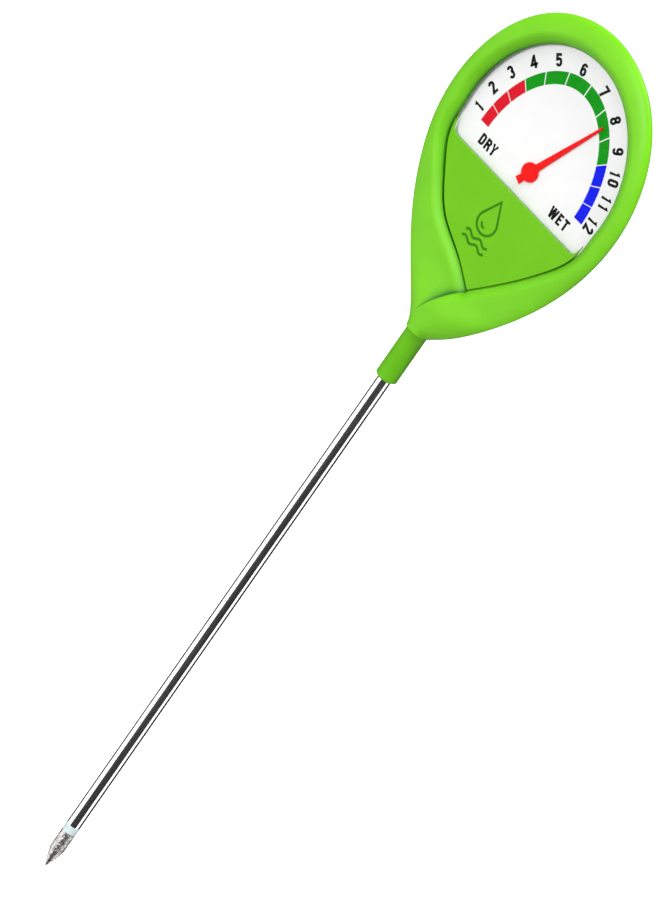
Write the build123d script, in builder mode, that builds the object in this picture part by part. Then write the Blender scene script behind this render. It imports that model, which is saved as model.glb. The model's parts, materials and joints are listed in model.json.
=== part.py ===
from build123d import *
import math
import os

os.makedirs("parts", exist_ok=True)

# Battery-free soil moisture meter, in millimetres. Z is up along the probe and the dial faces -Y.
# The origin is on the probe's axis at the lower end of the neck sleeve, the deepest soil line.
# Wet soil between the pointed tip and the steel tube makes a small current, which turns the
# pointer of a moving-magnet movement behind the dial.

# ---- Head, seen from the front with the dial's hub as the sketch origin
HUB_Z = 70.7
HEAD_TOP = [(0, 45.4), (15.4, 41.2), (24.9, 32.8), (32.1, 18.0), (33.8, 2.1)]
RIGHT_ARM = [(29.6, -17.7), (18.4, -38.5), (7.8, -50.4)]
LEFT_ARM = [(-29.1, -17.7), (-16.1, -38.5), (-6.0, -50.4)]
NECK_HALF_W = 3.9
NECK_END = -55.3
RIGHT_NECK_DIRECTION = (-0.6, -0.8)
LEFT_NECK_DIRECTION = (0.2, -1)
WALL = 1.5
RIM_HEIGHT = 3.2
RIM_SLOPE = 2.1
# Each section is a depth in world Y and the outline's share there. The head is widest in front
# of its parting plane at Y = 0.
FRONT_SECTIONS = [(0, 0.975), (-1.3, 1.0), (-2.4, 0.98), (-3.0, 0.945), (-RIM_HEIGHT, 0.9)]
REAR_SECTIONS = [(0, 0.975), (1.2, 0.95), (3.3, 0.9), (6.9, 0.82), (10.6, 0.7)]
REAR_FACE = (13.0, 0.53)
CAVITY_END = (11.4, 0.63)
CUTTER = 120.0

# ---- Window and face panel
WINDOW_HALF_W = 27.3
WINDOW_HALF_H = 31.8
WINDOW_MID = 4.7
WINDOW_CHORD = -7.2
WINDOW_CORNER_R = 2.5
PANEL_MID = -12.0
PANEL_RIGHT = [(26.95, 0.5), (26.5, -7.0), (22.5, -15.2), (15.0, -25.5), (5.6, -36.2)]
PANEL_LEFT = [(5.6, -36.2), (-3.1, -30.8), (-12.9, -25.6), (-21.9, -15.2), (-26.5, -7.0), (-26.95, 0.5)]
PANEL_POINT_DIRECTION = (-0.66, -0.75)
PANEL_LEFT_DIRECTION = (-0.85, 0.52)
SEAM_GAP = 0.5
LIP_FRONT = -1.0
LENS_FRONT = -0.6
LENS_BACK = -0.05
LENS_LIP = 1.2
SEAT_CLEARANCE = 0.05
SCREW_BITE = 0.02
SCREW_PLAY = 0.1
FLANGE_T = 0.5
FLANGE_W = 1.2

# ---- Dial, frame and pointer
CARD_FRONT = 0.9
CARD_T = 0.3
CARD_LIP = 1.4
FRAME_FRONT = CARD_FRONT + CARD_T
FRAME_T = 1.0
FRAME_BACK = FRAME_FRONT + FRAME_T
FRAME_BOTTOM = -32.0
FRAME_SHARE = 0.86
HOOK_HALF_W = 2.0
HOOK_T = 0.7
HOOK_LIP = 0.9
STAFF_HOLE_R = 1.2
BOSS_R = 1.5
BOSSES = [(15.5, -30.0), (-14.0, -29.0)]
BOSS_HOLE_DEPTH = 2.4
SCREW_R = 0.8
SCREW_HEAD_R = 1.45
SCREW_HEAD_T = 0.8
SCREW_HEAD_ROUND = 0.35
RECESS_LENGTH, RECESS_W = 1.5, 0.3
REST_ANGLE = 23.5
POINTER_LENGTH = 26.1
POINTER_BACK = 0.6
NEEDLE_ROOT_HALF_W, NEEDLE_END_HALF_W = 1.05, 0.3
TAIL_ROOT_HALF_W, TAIL_END_HALF_W = 0.7, 1.15
TAIL_LENGTH = 4.5
NEEDLE_T = 0.3
POINTER_HUB_R = 2.7
POINTER_HUB_T = 0.4

# ---- Movement: depths are world Y, and the staff is on the hub's axis
STAFF_R = 0.4
PIVOT_R = 0.2
RUNNING_GAP = 0.03
COLLET_R = 0.75
COLLET_FRONT, COLLET_BACK = 2.4, 3.2
FINGER_LENGTH = 3.4
FINGER_W = 0.6
STOP_R = 0.4
SPRING_FRONT, SPRING_BACK = 2.8, 3.15
SPRING_STRIP = 0.12
SPRING_OUTER_R = 3.7
SPRING_TURNS = 4
SPRING_STEPS = 12
SPRING_INSET = 0.04
FINGER_SET_BACK = 0.15
RUN_CLEARANCE = 0.05
STUD_POST_R = 0.35
BOBBIN_HALF_W, BOBBIN_HALF_H = 5.0, 4.8
BOBBIN_FRONT, BOBBIN_SPLIT, BOBBIN_BACK = 4.2, 6.5, 8.8
CHAMBER_R = 4.1
CHAMBER_WALL = 1.0
BOSS_W = 3.6
SPACER_W, SPACER_H = 3.2, 0.95
PIN_DEPTH = 0.8
WINDING_NEAR, WINDING_FAR = 1.5, 3.7
WINDING_T = 0.9
BEARING_R = 0.9
CAN_R = 8.3
CAN_T = 0.6
CAN_BACK = 10.7
CAN_ROUND = 0.5
BEARING_INSET = 0.5
EAR_FRONT = 3.6
EAR_T = 0.6
EAR_X = 10.6
EAR_R = 2.1
MAGNET_R = 3.6
MAGNET_FRONT, MAGNET_BACK = 5.5, 7.5
TERMINAL_X = 2.5
TERMINAL_Y = 7.4
TERMINAL_R = 0.35
TERMINAL_END = -12.0

# ---- Neck and probe, heights in world Z
SLEEVE_R = 3.2
SLEEVE_TOP = 24.0
SLEEVE_BEVEL = 0.45
GROOVE_LOW, GROOVE_HIGH = 18.0, 20.0
GROOVE_R = 2.7
BELL = [(3.9, 15.4), (4.4, 20.0), (4.4, 25.0), (3.7, 32.0)]
TUBE_R = 2.05
TUBE_BORE_R = 1.4
TUBE_SEAT_R = 1.85
TUBE_TOP = 28.0
TUBE_END = -155.6
RING_T = 2.3
SPIGOT_R = 1.38
SPIGOT_LENGTH = 4.0
STUD_R = 0.7
STUD_LENGTH = 6.7
TIP_STRAIGHT = 6.0
TIP_CONE = 6.0
TIP_NOSE_R = 0.15
CONTACT_R = 2.35
CONTACT_LOW, CONTACT_HIGH = 24.4, 27.4
TAB_TOP = 30.4
TAB_W = 1.6
LEAD_R, LEAD_BEND_R = 0.5, 8.0
TUBE_LEAD_R, TUBE_LEAD_BEND_R = 0.4, 5.0

FACE = Plane(origin=(0, 0, HUB_Z), x_dir=(1, 0, 0), z_dir=(0, -1, 0))


def face_at(y):
    """The front view's plane at depth y. A sketch there extrudes forward, towards -Y."""
    return FACE.offset(-y)


def finish(piece, name):
    """Names a finished piece and writes its STEP."""
    piece.label = name
    export_step(piece, f"parts/{name}.step")


# ---- Shared outlines
mirrored_top = [(-x, y) for x, y in HEAD_TOP]
with BuildSketch() as head_outline:
    with BuildLine():
        right_neck, left_neck = (NECK_HALF_W, NECK_END), (-NECK_HALF_W, NECK_END)
        right_ends, left_ends = [(1, 0), RIGHT_NECK_DIRECTION], [(-1, 0), LEFT_NECK_DIRECTION]
        Spline(*HEAD_TOP, *RIGHT_ARM, right_neck, tangents=right_ends, tangent_scalars=[1, 1])
        Spline(*mirrored_top, *LEFT_ARM, left_neck, tangents=left_ends, tangent_scalars=[1, 1])
        Line(left_neck, right_neck)
    make_face()

with BuildSketch() as inner_outline:
    add(head_outline.sketch)
    offset(amount=-WALL, kind=Kind.INTERSECTION)


def window_outline(grow):
    """The window's outline, an ellipse cut off by a straight chord with round corners, grown all round."""
    with BuildSketch() as outline:
        with Locations((0, WINDOW_MID)):
            Ellipse(WINDOW_HALF_W + grow, WINDOW_HALF_H + grow)
        with Locations((0, WINDOW_CHORD - grow)):
            Rectangle(CUTTER, CUTTER, align=(Align.CENTER, Align.MAX), mode=Mode.SUBTRACT)
        fillet(outline.vertices(), WINDOW_CORNER_R + grow)
    return outline.sketch


def grown(points, grow):
    """The points moved out by grow from the middle of the face panel."""
    moved = []
    for x, y in points:
        reach = math.hypot(x, y - PANEL_MID)
        moved.append((x * (1 + grow / reach), PANEL_MID + (y - PANEL_MID) * (1 + grow / reach)))
    return moved


def opening_outline(grow):
    """The bezel's opening: the window's ellipse and the face panel below it, grown all round."""
    right, left = grown(PANEL_RIGHT, grow), grown(PANEL_LEFT, grow)
    with BuildSketch() as outline:
        with Locations((0, WINDOW_MID)):
            Ellipse(WINDOW_HALF_W + grow, WINDOW_HALF_H + grow)
        with BuildLine():
            Spline(*right, tangents=[(0, -1), PANEL_POINT_DIRECTION], tangent_scalars=[1, 1])
            Spline(*left, tangents=[PANEL_LEFT_DIRECTION, (0, 1)], tangent_scalars=[1, 1])
            Line(left[-1], right[0])
        make_face()
    return outline.sketch


# ---- Housing
bore_r = SLEEVE_R + SEAT_CLEARANCE
rib_r = GROOVE_R + SEAT_CLEARANCE
rib_low, rib_high = GROOVE_LOW + SEAT_CLEARANCE, GROOVE_HIGH - SEAT_CLEARANCE

with BuildSketch(Plane.XZ) as bell_profile:
    with BuildLine():
        Polyline(
            (bore_r, BELL[0][1]),
            *BELL,
            (bore_r, BELL[-1][1]),
            (bore_r, rib_high),
            (rib_r, rib_high),
            (rib_r, rib_low),
            (bore_r, rib_low),
            close=True,
        )
    make_face()

with BuildPart() as front_bezel:
    for y, share in FRONT_SECTIONS:
        with BuildSketch(face_at(y)):
            add(head_outline.sketch)
            scale(by=share)
    loft()
    with BuildSketch(face_at(0)):
        add(opening_outline(0))
    extrude(amount=RIM_HEIGHT, mode=Mode.SUBTRACT)
    chamfer(front_bezel.faces().sort_by(Axis.Y)[0].inner_wires().edges(), RIM_SLOPE)
    with BuildSketch(face_at(0)):
        add(window_outline(LENS_LIP + SEAT_CLEARANCE))
    extrude(amount=-LENS_FRONT, mode=Mode.SUBTRACT)
    with BuildSketch(Plane.XY.offset(BELL[0][1] - 1)):
        Circle(SLEEVE_R + SEAT_CLEARANCE)
    extrude(amount=BELL[-1][1] - BELL[0][1] + 3, mode=Mode.SUBTRACT)
    revolve(bell_profile.sketch, axis=Axis.Z)
    split(bisect_by=Plane.XZ, keep=Keep.TOP)
    with BuildSketch(face_at(FRAME_FRONT)):
        with Locations(*BOSSES):
            Circle(BOSS_R)
    extrude(amount=FRAME_FRONT)
    with BuildSketch(face_at(FRAME_FRONT)):
        with Locations(*BOSSES):
            Circle(SCREW_R + SCREW_BITE)
    extrude(amount=BOSS_HOLE_DEPTH, mode=Mode.SUBTRACT)
    hook_low = HEAD_TOP[0][1] * FRAME_SHARE + SEAT_CLEARANCE
    with BuildSketch(face_at(FRAME_BACK + SEAT_CLEARANCE)):
        with Locations((0, hook_low)):
            Rectangle(2 * HOOK_HALF_W, HOOK_T, align=(Align.CENTER, Align.MIN))
    extrude(amount=FRAME_BACK + SEAT_CLEARANCE)
    with BuildSketch(face_at(FRAME_BACK + SEAT_CLEARANCE)):
        with Locations((0, hook_low - HOOK_LIP)):
            Rectangle(2 * HOOK_HALF_W, HOOK_T + HOOK_LIP, align=(Align.CENTER, Align.MIN))
    extrude(amount=-HOOK_T / 2)
finish(front_bezel.part, "front_bezel")

with BuildPart() as rear_cover:
    for y, share in [*REAR_SECTIONS, REAR_FACE]:
        with BuildSketch(face_at(y)):
            add(head_outline.sketch)
            scale(by=share)
    loft()
    for y, share in [*REAR_SECTIONS, CAVITY_END]:
        with BuildSketch(face_at(y)):
            add(inner_outline.sketch)
            scale(by=share)
    loft(mode=Mode.SUBTRACT)
    with BuildSketch(Plane.XY.offset(BELL[0][1] - 1)):
        Circle(SLEEVE_R + SEAT_CLEARANCE)
    extrude(amount=BELL[-1][1] - BELL[0][1] + 3, mode=Mode.SUBTRACT)
    revolve(bell_profile.sketch, axis=Axis.Z)
    split(bisect_by=Plane.XZ, keep=Keep.BOTTOM)
finish(rear_cover.part, "rear_cover")

with BuildPart() as face_panel:
    with BuildSketch(face_at(FLANGE_T)):
        add(opening_outline(-SEAM_GAP))
        add(window_outline(0), mode=Mode.SUBTRACT)
        Rectangle(CUTTER, CUTTER, align=(Align.CENTER, Align.MIN), mode=Mode.SUBTRACT)
    extrude(amount=FLANGE_T - LIP_FRONT)
    with BuildSketch(face_at(FLANGE_T)):
        add(opening_outline(FLANGE_W))
        Rectangle(CUTTER, CUTTER, align=(Align.CENTER, Align.MIN), mode=Mode.SUBTRACT)
    extrude(amount=FLANGE_T)
    with BuildSketch(face_at(FLANGE_T)):
        add(window_outline(LENS_LIP + SEAT_CLEARANCE))
    extrude(amount=FLANGE_T - LENS_FRONT, mode=Mode.SUBTRACT)
finish(face_panel.part, "face_panel")

with BuildPart() as window_lens:
    with BuildSketch(face_at(LENS_BACK)):
        add(window_outline(LENS_LIP))
    extrude(amount=LENS_BACK - LENS_FRONT)
finish(window_lens.part, "window_lens")

# ---- Dial
with BuildPart() as dial_card:
    with BuildSketch(face_at(FRAME_FRONT)):
        add(window_outline(CARD_LIP))
        Circle(STAFF_HOLE_R, mode=Mode.SUBTRACT)
    extrude(amount=CARD_T)
finish(dial_card.part, "dial_card")

stop_y = FINGER_W / 2 + STOP_R + RUN_CLEARANCE
with BuildPart() as movement_frame:
    with BuildSketch(face_at(FRAME_BACK)):
        add(head_outline.sketch)
        scale(by=FRAME_SHARE)
        with Locations((0, FRAME_BOTTOM)):
            Rectangle(CUTTER, CUTTER, align=(Align.CENTER, Align.MAX), mode=Mode.SUBTRACT)
        Circle(STAFF_HOLE_R, mode=Mode.SUBTRACT)
        with Locations(*BOSSES):
            Circle(SCREW_R + SCREW_PLAY, mode=Mode.SUBTRACT)
    extrude(amount=FRAME_T)
    with BuildSketch(face_at(FRAME_BACK)):
        with Locations((-FINGER_LENGTH + STOP_R, stop_y), (FINGER_LENGTH - STOP_R, stop_y)):
            Circle(STOP_R)
    extrude(amount=-(SPRING_FRONT - FRAME_BACK - RUN_CLEARANCE))
    with BuildSketch(face_at(FRAME_BACK)):
        with Locations((-EAR_X, 0), (EAR_X, 0)):
            Circle(EAR_R)
    extrude(amount=-(EAR_FRONT - FRAME_BACK))
    with BuildSketch(face_at(EAR_FRONT)):
        with Locations((-EAR_X, 0), (EAR_X, 0)):
            Circle(SCREW_R + SCREW_BITE)
    extrude(amount=EAR_FRONT - FRAME_FRONT - 0.2, mode=Mode.SUBTRACT)
finish(movement_frame.part, "movement_frame")


def pan_screws(places, head_y, length):
    """Pan-head screws along Y, with the heads' undersides at head_y and a cross recess in each head."""
    with BuildPart() as screws:
        with BuildSketch(face_at(head_y)):
            with Locations(*places):
                Circle(SCREW_R)
        extrude(amount=length)
        with BuildSketch(face_at(head_y)):
            with Locations(*places):
                Circle(SCREW_HEAD_R)
        extrude(amount=-SCREW_HEAD_T)
        fillet(screws.faces().group_by(Axis.Y)[-1].edges(), SCREW_HEAD_ROUND)
        with BuildSketch(face_at(head_y + SCREW_HEAD_T)):
            with Locations(*places):
                Rectangle(RECESS_LENGTH, RECESS_W)
                Rectangle(RECESS_W, RECESS_LENGTH)
        extrude(amount=SCREW_HEAD_T / 2, mode=Mode.SUBTRACT)
    return screws.part


finish(pan_screws(BOSSES, FRAME_BACK, FRAME_BACK + 1.0), "frame_screws")
finish(pan_screws([(-EAR_X, 0), (EAR_X, 0)], EAR_FRONT + EAR_T, EAR_T + 2.0), "movement_screws")

# ---- Pointer and its staff, turned to the rest angle
rest = math.radians(REST_ANGLE)
POINTER_FACE = Plane(origin=(0, 0, HUB_Z), x_dir=(math.cos(rest), 0, -math.sin(rest)), z_dir=(0, -1, 0))


def pointer_at(y):
    """The pointer's own front view, with the needle straight up, at depth y."""
    return POINTER_FACE.offset(-y)


with BuildPart() as pointer:
    with BuildSketch(pointer_at(POINTER_BACK)):
        for root, end, length in (
            (NEEDLE_ROOT_HALF_W, NEEDLE_END_HALF_W, POINTER_LENGTH),
            (TAIL_ROOT_HALF_W, TAIL_END_HALF_W, -TAIL_LENGTH),
        ):
            with BuildLine():
                Polyline((-root, 0), (-end, length), (end, length), (root, 0), close=True)
            make_face()
    extrude(amount=NEEDLE_T)
    with BuildSketch(pointer_at(POINTER_BACK)):
        Circle(POINTER_HUB_R)
    extrude(amount=POINTER_HUB_T)
    with BuildSketch(pointer_at(POINTER_BACK)):
        Circle(STAFF_R)
    extrude(amount=NEEDLE_T, mode=Mode.SUBTRACT)
finish(pointer.part, "pointer")

pivot_start = MAGNET_BACK + 0.6
pivot_end = BOBBIN_BACK + 0.2
with BuildPart() as pivot_staff:
    with BuildSketch(face_at(pivot_start)):
        Circle(STAFF_R)
    extrude(amount=pivot_start - POINTER_BACK + NEEDLE_T)
    with BuildSketch(face_at(pivot_end)):
        Circle(PIVOT_R)
    extrude(amount=pivot_end - pivot_start)
finish(pivot_staff.part, "pivot_staff")

with BuildPart() as spring_collet:
    with BuildSketch(pointer_at(COLLET_BACK)):
        Circle(COLLET_R)
        Circle(STAFF_R, mode=Mode.SUBTRACT)
    extrude(amount=COLLET_BACK - COLLET_FRONT)
    finger_root = STAFF_R + 2 * RUN_CLEARANCE
    with BuildSketch(pointer_at(SPRING_FRONT - FINGER_SET_BACK)):
        with Locations((0, -finger_root)):
            Rectangle(FINGER_W, FINGER_LENGTH - finger_root, align=(Align.CENTER, Align.MAX))
    extrude(amount=SPRING_FRONT - FINGER_SET_BACK - COLLET_FRONT)
finish(spring_collet.part, "spring_collet")


def spiral(shift):
    """Points of the hairspring's spiral, from the collet out to the stud, moved out by shift."""
    count = SPRING_STEPS * SPRING_TURNS
    points = []
    for i in range(count + 1):
        angle = 2 * math.pi * i / SPRING_STEPS
        radius = COLLET_R + shift + (SPRING_OUTER_R - COLLET_R) * i / count
        points.append((radius * math.cos(angle), radius * math.sin(angle)))
    return points


with BuildPart() as hairspring:
    with BuildSketch(face_at(SPRING_BACK)):
        with BuildLine():
            inner = Spline(*spiral(SPRING_INSET))
            outer = Spline(*spiral(SPRING_INSET + SPRING_STRIP))
            Line(inner @ 0, outer @ 0)
            Line(inner @ 1, outer @ 1)
        make_face()
    extrude(amount=SPRING_BACK - SPRING_FRONT)
finish(hairspring.part, "hairspring")

post_x = SPRING_OUTER_R + SPRING_STRIP + SPRING_INSET + STUD_POST_R
post_back = SPRING_BACK + 3 * RUN_CLEARANCE
with BuildPart() as hairspring_stud:
    with BuildSketch(face_at(post_back)):
        with Locations((post_x, 0)):
            Circle(STUD_POST_R)
    extrude(amount=post_back - FRAME_BACK)
finish(hairspring_stud.part, "hairspring_stud")

with BuildPart() as rotor_magnet:
    with BuildSketch(face_at(MAGNET_BACK)):
        Circle(MAGNET_R)
        Circle(STAFF_R, mode=Mode.SUBTRACT)
    extrude(amount=MAGNET_BACK - MAGNET_FRONT)
    chamfer(rotor_magnet.edges().filter_by(GeomType.CIRCLE).sort_by(SortBy.RADIUS)[-2:], 0.2)
finish(rotor_magnet.part, "rotor_magnet")

# ---- Fixed part of the movement
boss_h = 2 * (WINDING_NEAR - 3 * RUN_CLEARANCE)
with BuildPart() as bobbin_front:
    with BuildSketch(face_at(BOBBIN_SPLIT)):
        Rectangle(2 * BOBBIN_HALF_W, 2 * BOBBIN_HALF_H)
    extrude(amount=BOBBIN_SPLIT - BOBBIN_FRONT)
    with BuildSketch(face_at(BOBBIN_FRONT)):
        Rectangle(BOSS_W, boss_h)
    extrude(amount=BOBBIN_FRONT - COLLET_BACK - 0.1)
    with BuildSketch(face_at(BOBBIN_FRONT)):
        with Locations((0, BOBBIN_HALF_H), (0, -BOBBIN_HALF_H + SPACER_H)):
            Rectangle(SPACER_W, SPACER_H, align=(Align.CENTER, Align.MAX))
    extrude(amount=BOBBIN_FRONT - FRAME_BACK)
    with BuildSketch(face_at(BOBBIN_SPLIT)):
        Circle(CHAMBER_R)
    extrude(amount=BOBBIN_SPLIT - BOBBIN_FRONT - CHAMBER_WALL, mode=Mode.SUBTRACT)
    with BuildSketch(face_at(BOBBIN_SPLIT)):
        Circle(BEARING_R)
    extrude(amount=BOBBIN_SPLIT - FRAME_BACK, mode=Mode.SUBTRACT)
finish(bobbin_front.part, "bobbin_front")

rear_boss_back = CAN_BACK - CAN_T
with BuildPart() as bobbin_rear:
    with BuildSketch(face_at(BOBBIN_BACK)):
        Rectangle(2 * BOBBIN_HALF_W, 2 * BOBBIN_HALF_H)
    extrude(amount=BOBBIN_BACK - BOBBIN_SPLIT)
    with BuildSketch(face_at(rear_boss_back)):
        Rectangle(BOSS_W, boss_h)
    extrude(amount=rear_boss_back - BOBBIN_BACK)
    with BuildSketch(face_at(BOBBIN_BACK - CHAMBER_WALL)):
        Circle(CHAMBER_R)
    extrude(amount=BOBBIN_BACK - CHAMBER_WALL - BOBBIN_SPLIT, mode=Mode.SUBTRACT)
    with BuildSketch(face_at(rear_boss_back - BEARING_INSET)):
        Circle(BEARING_R)
    extrude(amount=rear_boss_back, mode=Mode.SUBTRACT)
    with BuildSketch(Plane.XY.offset(HUB_Z - BOBBIN_HALF_H)):
        with Locations((-TERMINAL_X, TERMINAL_Y), (TERMINAL_X, TERMINAL_Y)):
            Circle(TERMINAL_R)
    extrude(amount=PIN_DEPTH, mode=Mode.SUBTRACT)
finish(bobbin_rear.part, "bobbin_rear")

with BuildPart() as front_bearing:
    with BuildSketch(face_at(BOBBIN_FRONT + 0.1)):
        Circle(BEARING_R)
        Circle(STAFF_R + RUNNING_GAP, mode=Mode.SUBTRACT)
    extrude(amount=BOBBIN_FRONT - COLLET_BACK)
finish(front_bearing.part, "front_bearing")

with BuildPart() as rear_bearing:
    with BuildSketch(face_at(rear_boss_back - BEARING_INSET)):
        Circle(BEARING_R)
    extrude(amount=rear_boss_back - BEARING_INSET - (MAGNET_BACK + 0.8))
    with BuildSketch(face_at(pivot_end + RUN_CLEARANCE)):
        Circle(PIVOT_R + RUNNING_GAP)
    extrude(amount=BOBBIN_BACK, mode=Mode.SUBTRACT)
finish(rear_bearing.part, "rear_bearing")

with BuildPart() as coil_winding:
    for low in (-WINDING_FAR, WINDING_NEAR):
        with BuildSketch(Plane.XY.offset(HUB_Z + low)):
            with Locations((0, (BOBBIN_FRONT + BOBBIN_BACK) / 2)):
                depth = BOBBIN_BACK - BOBBIN_FRONT
                RectangleRounded(2 * (BOBBIN_HALF_W + WINDING_T), depth + 2 * WINDING_T, WINDING_T)
                Rectangle(2 * BOBBIN_HALF_W, depth, mode=Mode.SUBTRACT)
        extrude(amount=WINDING_FAR - WINDING_NEAR)
finish(coil_winding.part, "coil_winding")

with BuildPart() as shield_can:
    with BuildSketch(face_at(CAN_BACK)):
        Circle(CAN_R)
    extrude(amount=CAN_BACK - FRAME_BACK)
    fillet(shield_can.faces().sort_by(Axis.Y)[-1].edges(), CAN_ROUND)
    with BuildSketch(face_at(EAR_FRONT + EAR_T)):
        with Locations((-EAR_X, 0), (EAR_X, 0)):
            Circle(EAR_R)
        Rectangle(2 * EAR_X, 2 * EAR_R)
    extrude(amount=EAR_T)
    with BuildSketch(face_at(rear_boss_back)):
        Circle(CAN_R - CAN_T)
    extrude(amount=CAN_BACK, mode=Mode.SUBTRACT)
    with BuildSketch(face_at(EAR_FRONT + EAR_T)):
        with Locations((-EAR_X, 0), (EAR_X, 0)):
            Circle(SCREW_R + SCREW_PLAY)
    extrude(amount=EAR_T, mode=Mode.SUBTRACT)
    with BuildSketch(Plane.XY.offset(HUB_Z - CAN_R)):
        with Locations((0, TERMINAL_Y)):
            Rectangle(2 * TERMINAL_X + 2, 1.6)
    extrude(amount=CAN_R / 2, mode=Mode.SUBTRACT)
finish(shield_can.part, "shield_can")

with BuildPart() as terminal_pins:
    with BuildSketch(Plane.XY.offset(HUB_Z + TERMINAL_END)):
        with Locations((-TERMINAL_X, TERMINAL_Y), (TERMINAL_X, TERMINAL_Y)):
            Circle(TERMINAL_R)
    extrude(amount=PIN_DEPTH - BOBBIN_HALF_H - TERMINAL_END)
finish(terminal_pins.part, "terminal_pins")

# ---- Neck and probe
with BuildPart() as neck_sleeve:
    with BuildSketch(Plane.XY):
        Circle(SLEEVE_R)
    extrude(amount=SLEEVE_TOP)
    chamfer(neck_sleeve.edges().group_by(Axis.Z)[0], SLEEVE_BEVEL)
    with BuildSketch(Plane.XY.offset(GROOVE_LOW)):
        Circle(SLEEVE_R)
        Circle(GROOVE_R, mode=Mode.SUBTRACT)
    extrude(amount=GROOVE_HIGH - GROOVE_LOW, mode=Mode.SUBTRACT)
    with BuildSketch(Plane.XY):
        Circle(TUBE_SEAT_R)
    extrude(amount=SLEEVE_TOP, mode=Mode.SUBTRACT)
finish(neck_sleeve.part, "neck_sleeve")

with BuildPart() as probe_tube:
    with BuildSketch(Plane.XY.offset(TUBE_END)):
        Circle(TUBE_R)
    extrude(amount=-TUBE_END)
    with BuildSketch(Plane.XY):
        Circle(TUBE_SEAT_R)
    extrude(amount=TUBE_TOP)
    with BuildSketch(Plane.XY.offset(TUBE_END)):
        Circle(TUBE_BORE_R)
    extrude(amount=TUBE_TOP - TUBE_END, mode=Mode.SUBTRACT)
finish(probe_tube.part, "probe_tube")

ring_end = TUBE_END - RING_T
with BuildPart() as insulator_ring:
    with BuildSketch(Plane.XY.offset(ring_end)):
        Circle(TUBE_R)
    extrude(amount=RING_T)
    with BuildSketch(Plane.XY.offset(TUBE_END)):
        Circle(SPIGOT_R)
    extrude(amount=SPIGOT_LENGTH)
    with BuildSketch(Plane.XY.offset(ring_end)):
        Circle(STUD_R)
    extrude(amount=RING_T + SPIGOT_LENGTH, mode=Mode.SUBTRACT)
finish(insulator_ring.part, "insulator_ring")

tip_end = ring_end - TIP_STRAIGHT - TIP_CONE
stud_top = ring_end + STUD_LENGTH + RING_T
with BuildPart() as tip_electrode:
    with BuildSketch(Plane.XZ):
        with BuildLine():
            Line((0, stud_top), (STUD_R, stud_top))
            Line((STUD_R, stud_top), (STUD_R, ring_end))
            Line((STUD_R, ring_end), (TUBE_R, ring_end))
            Line((TUBE_R, ring_end), (TUBE_R, ring_end - TIP_STRAIGHT))
            ThreePointArc(
                (TUBE_R, ring_end - TIP_STRAIGHT),
                (0.6 * TUBE_R, tip_end + TIP_CONE / 2),
                (TIP_NOSE_R, tip_end),
            )
            Line((TIP_NOSE_R, tip_end), (0, tip_end))
            Line((0, tip_end), (0, stud_top))
        make_face()
    revolve(axis=Axis.Z)
finish(tip_electrode.part, "tip_electrode")

tab_x = -(TUBE_SEAT_R + CONTACT_R) / 2
with BuildPart() as tube_contact:
    with BuildSketch(Plane.XY.offset(CONTACT_LOW)):
        Circle(CONTACT_R)
        Circle(TUBE_SEAT_R, mode=Mode.SUBTRACT)
    extrude(amount=CONTACT_HIGH - CONTACT_LOW)
    with BuildSketch(Plane.XY.offset(CONTACT_HIGH)):
        with Locations((tab_x, 0)):
            Rectangle(CONTACT_R - TUBE_SEAT_R, TAB_W)
    extrude(amount=TAB_TOP - CONTACT_HIGH)
finish(tube_contact.part, "tube_contact")


def lead(route, radius, bends):
    """A round insulated wire along straight runs joined by arcs. It starts straight up."""
    with BuildPart() as wire:
        with BuildLine() as path:
            FilletPolyline(*route, radius=bends)
        with BuildSketch(Plane.XY.offset(route[0][2])):
            with Locations(route[0][:2]):
                Circle(radius)
        sweep()
    print("lead length", round(path.wire().length, 1), "volume", round(wire.part.volume, 1))
    return wire.part


pin_foot = HUB_Z + TERMINAL_END
TIP_LEAD_ROUTE = [
    (0, 0, stud_top),
    (0, 0, 31.0),
    (TERMINAL_X, TERMINAL_Y, 45.0),
    (TERMINAL_X, TERMINAL_Y, pin_foot),
]
TUBE_LEAD_ROUTE = [
    (tab_x, 0, TAB_TOP),
    (tab_x, 0, 32.0),
    (-TERMINAL_X, TERMINAL_Y, 44.0),
    (-TERMINAL_X, TERMINAL_Y, pin_foot),
]
finish(lead(TIP_LEAD_ROUTE, LEAD_R, LEAD_BEND_R), "tip_lead")
finish(lead(TUBE_LEAD_ROUTE, TUBE_LEAD_R, TUBE_LEAD_BEND_R), "tube_lead")
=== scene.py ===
import json
import math

import bmesh
import bpy
import numpy as np
from mathutils import Matrix, Vector


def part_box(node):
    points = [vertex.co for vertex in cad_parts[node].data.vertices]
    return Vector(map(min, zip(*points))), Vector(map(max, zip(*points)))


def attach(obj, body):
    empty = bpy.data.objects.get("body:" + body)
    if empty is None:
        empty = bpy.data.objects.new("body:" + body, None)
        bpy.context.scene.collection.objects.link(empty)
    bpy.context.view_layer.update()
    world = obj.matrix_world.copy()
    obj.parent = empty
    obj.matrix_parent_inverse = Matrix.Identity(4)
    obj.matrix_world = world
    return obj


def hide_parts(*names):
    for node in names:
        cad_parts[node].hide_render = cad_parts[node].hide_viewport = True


# Looks of a battery-free soil moisture sensor. Shapes are worked out in millimetres in the head's
# front view: x to the right, v up from the dial's hub, and height forward of the parting plane.

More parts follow.
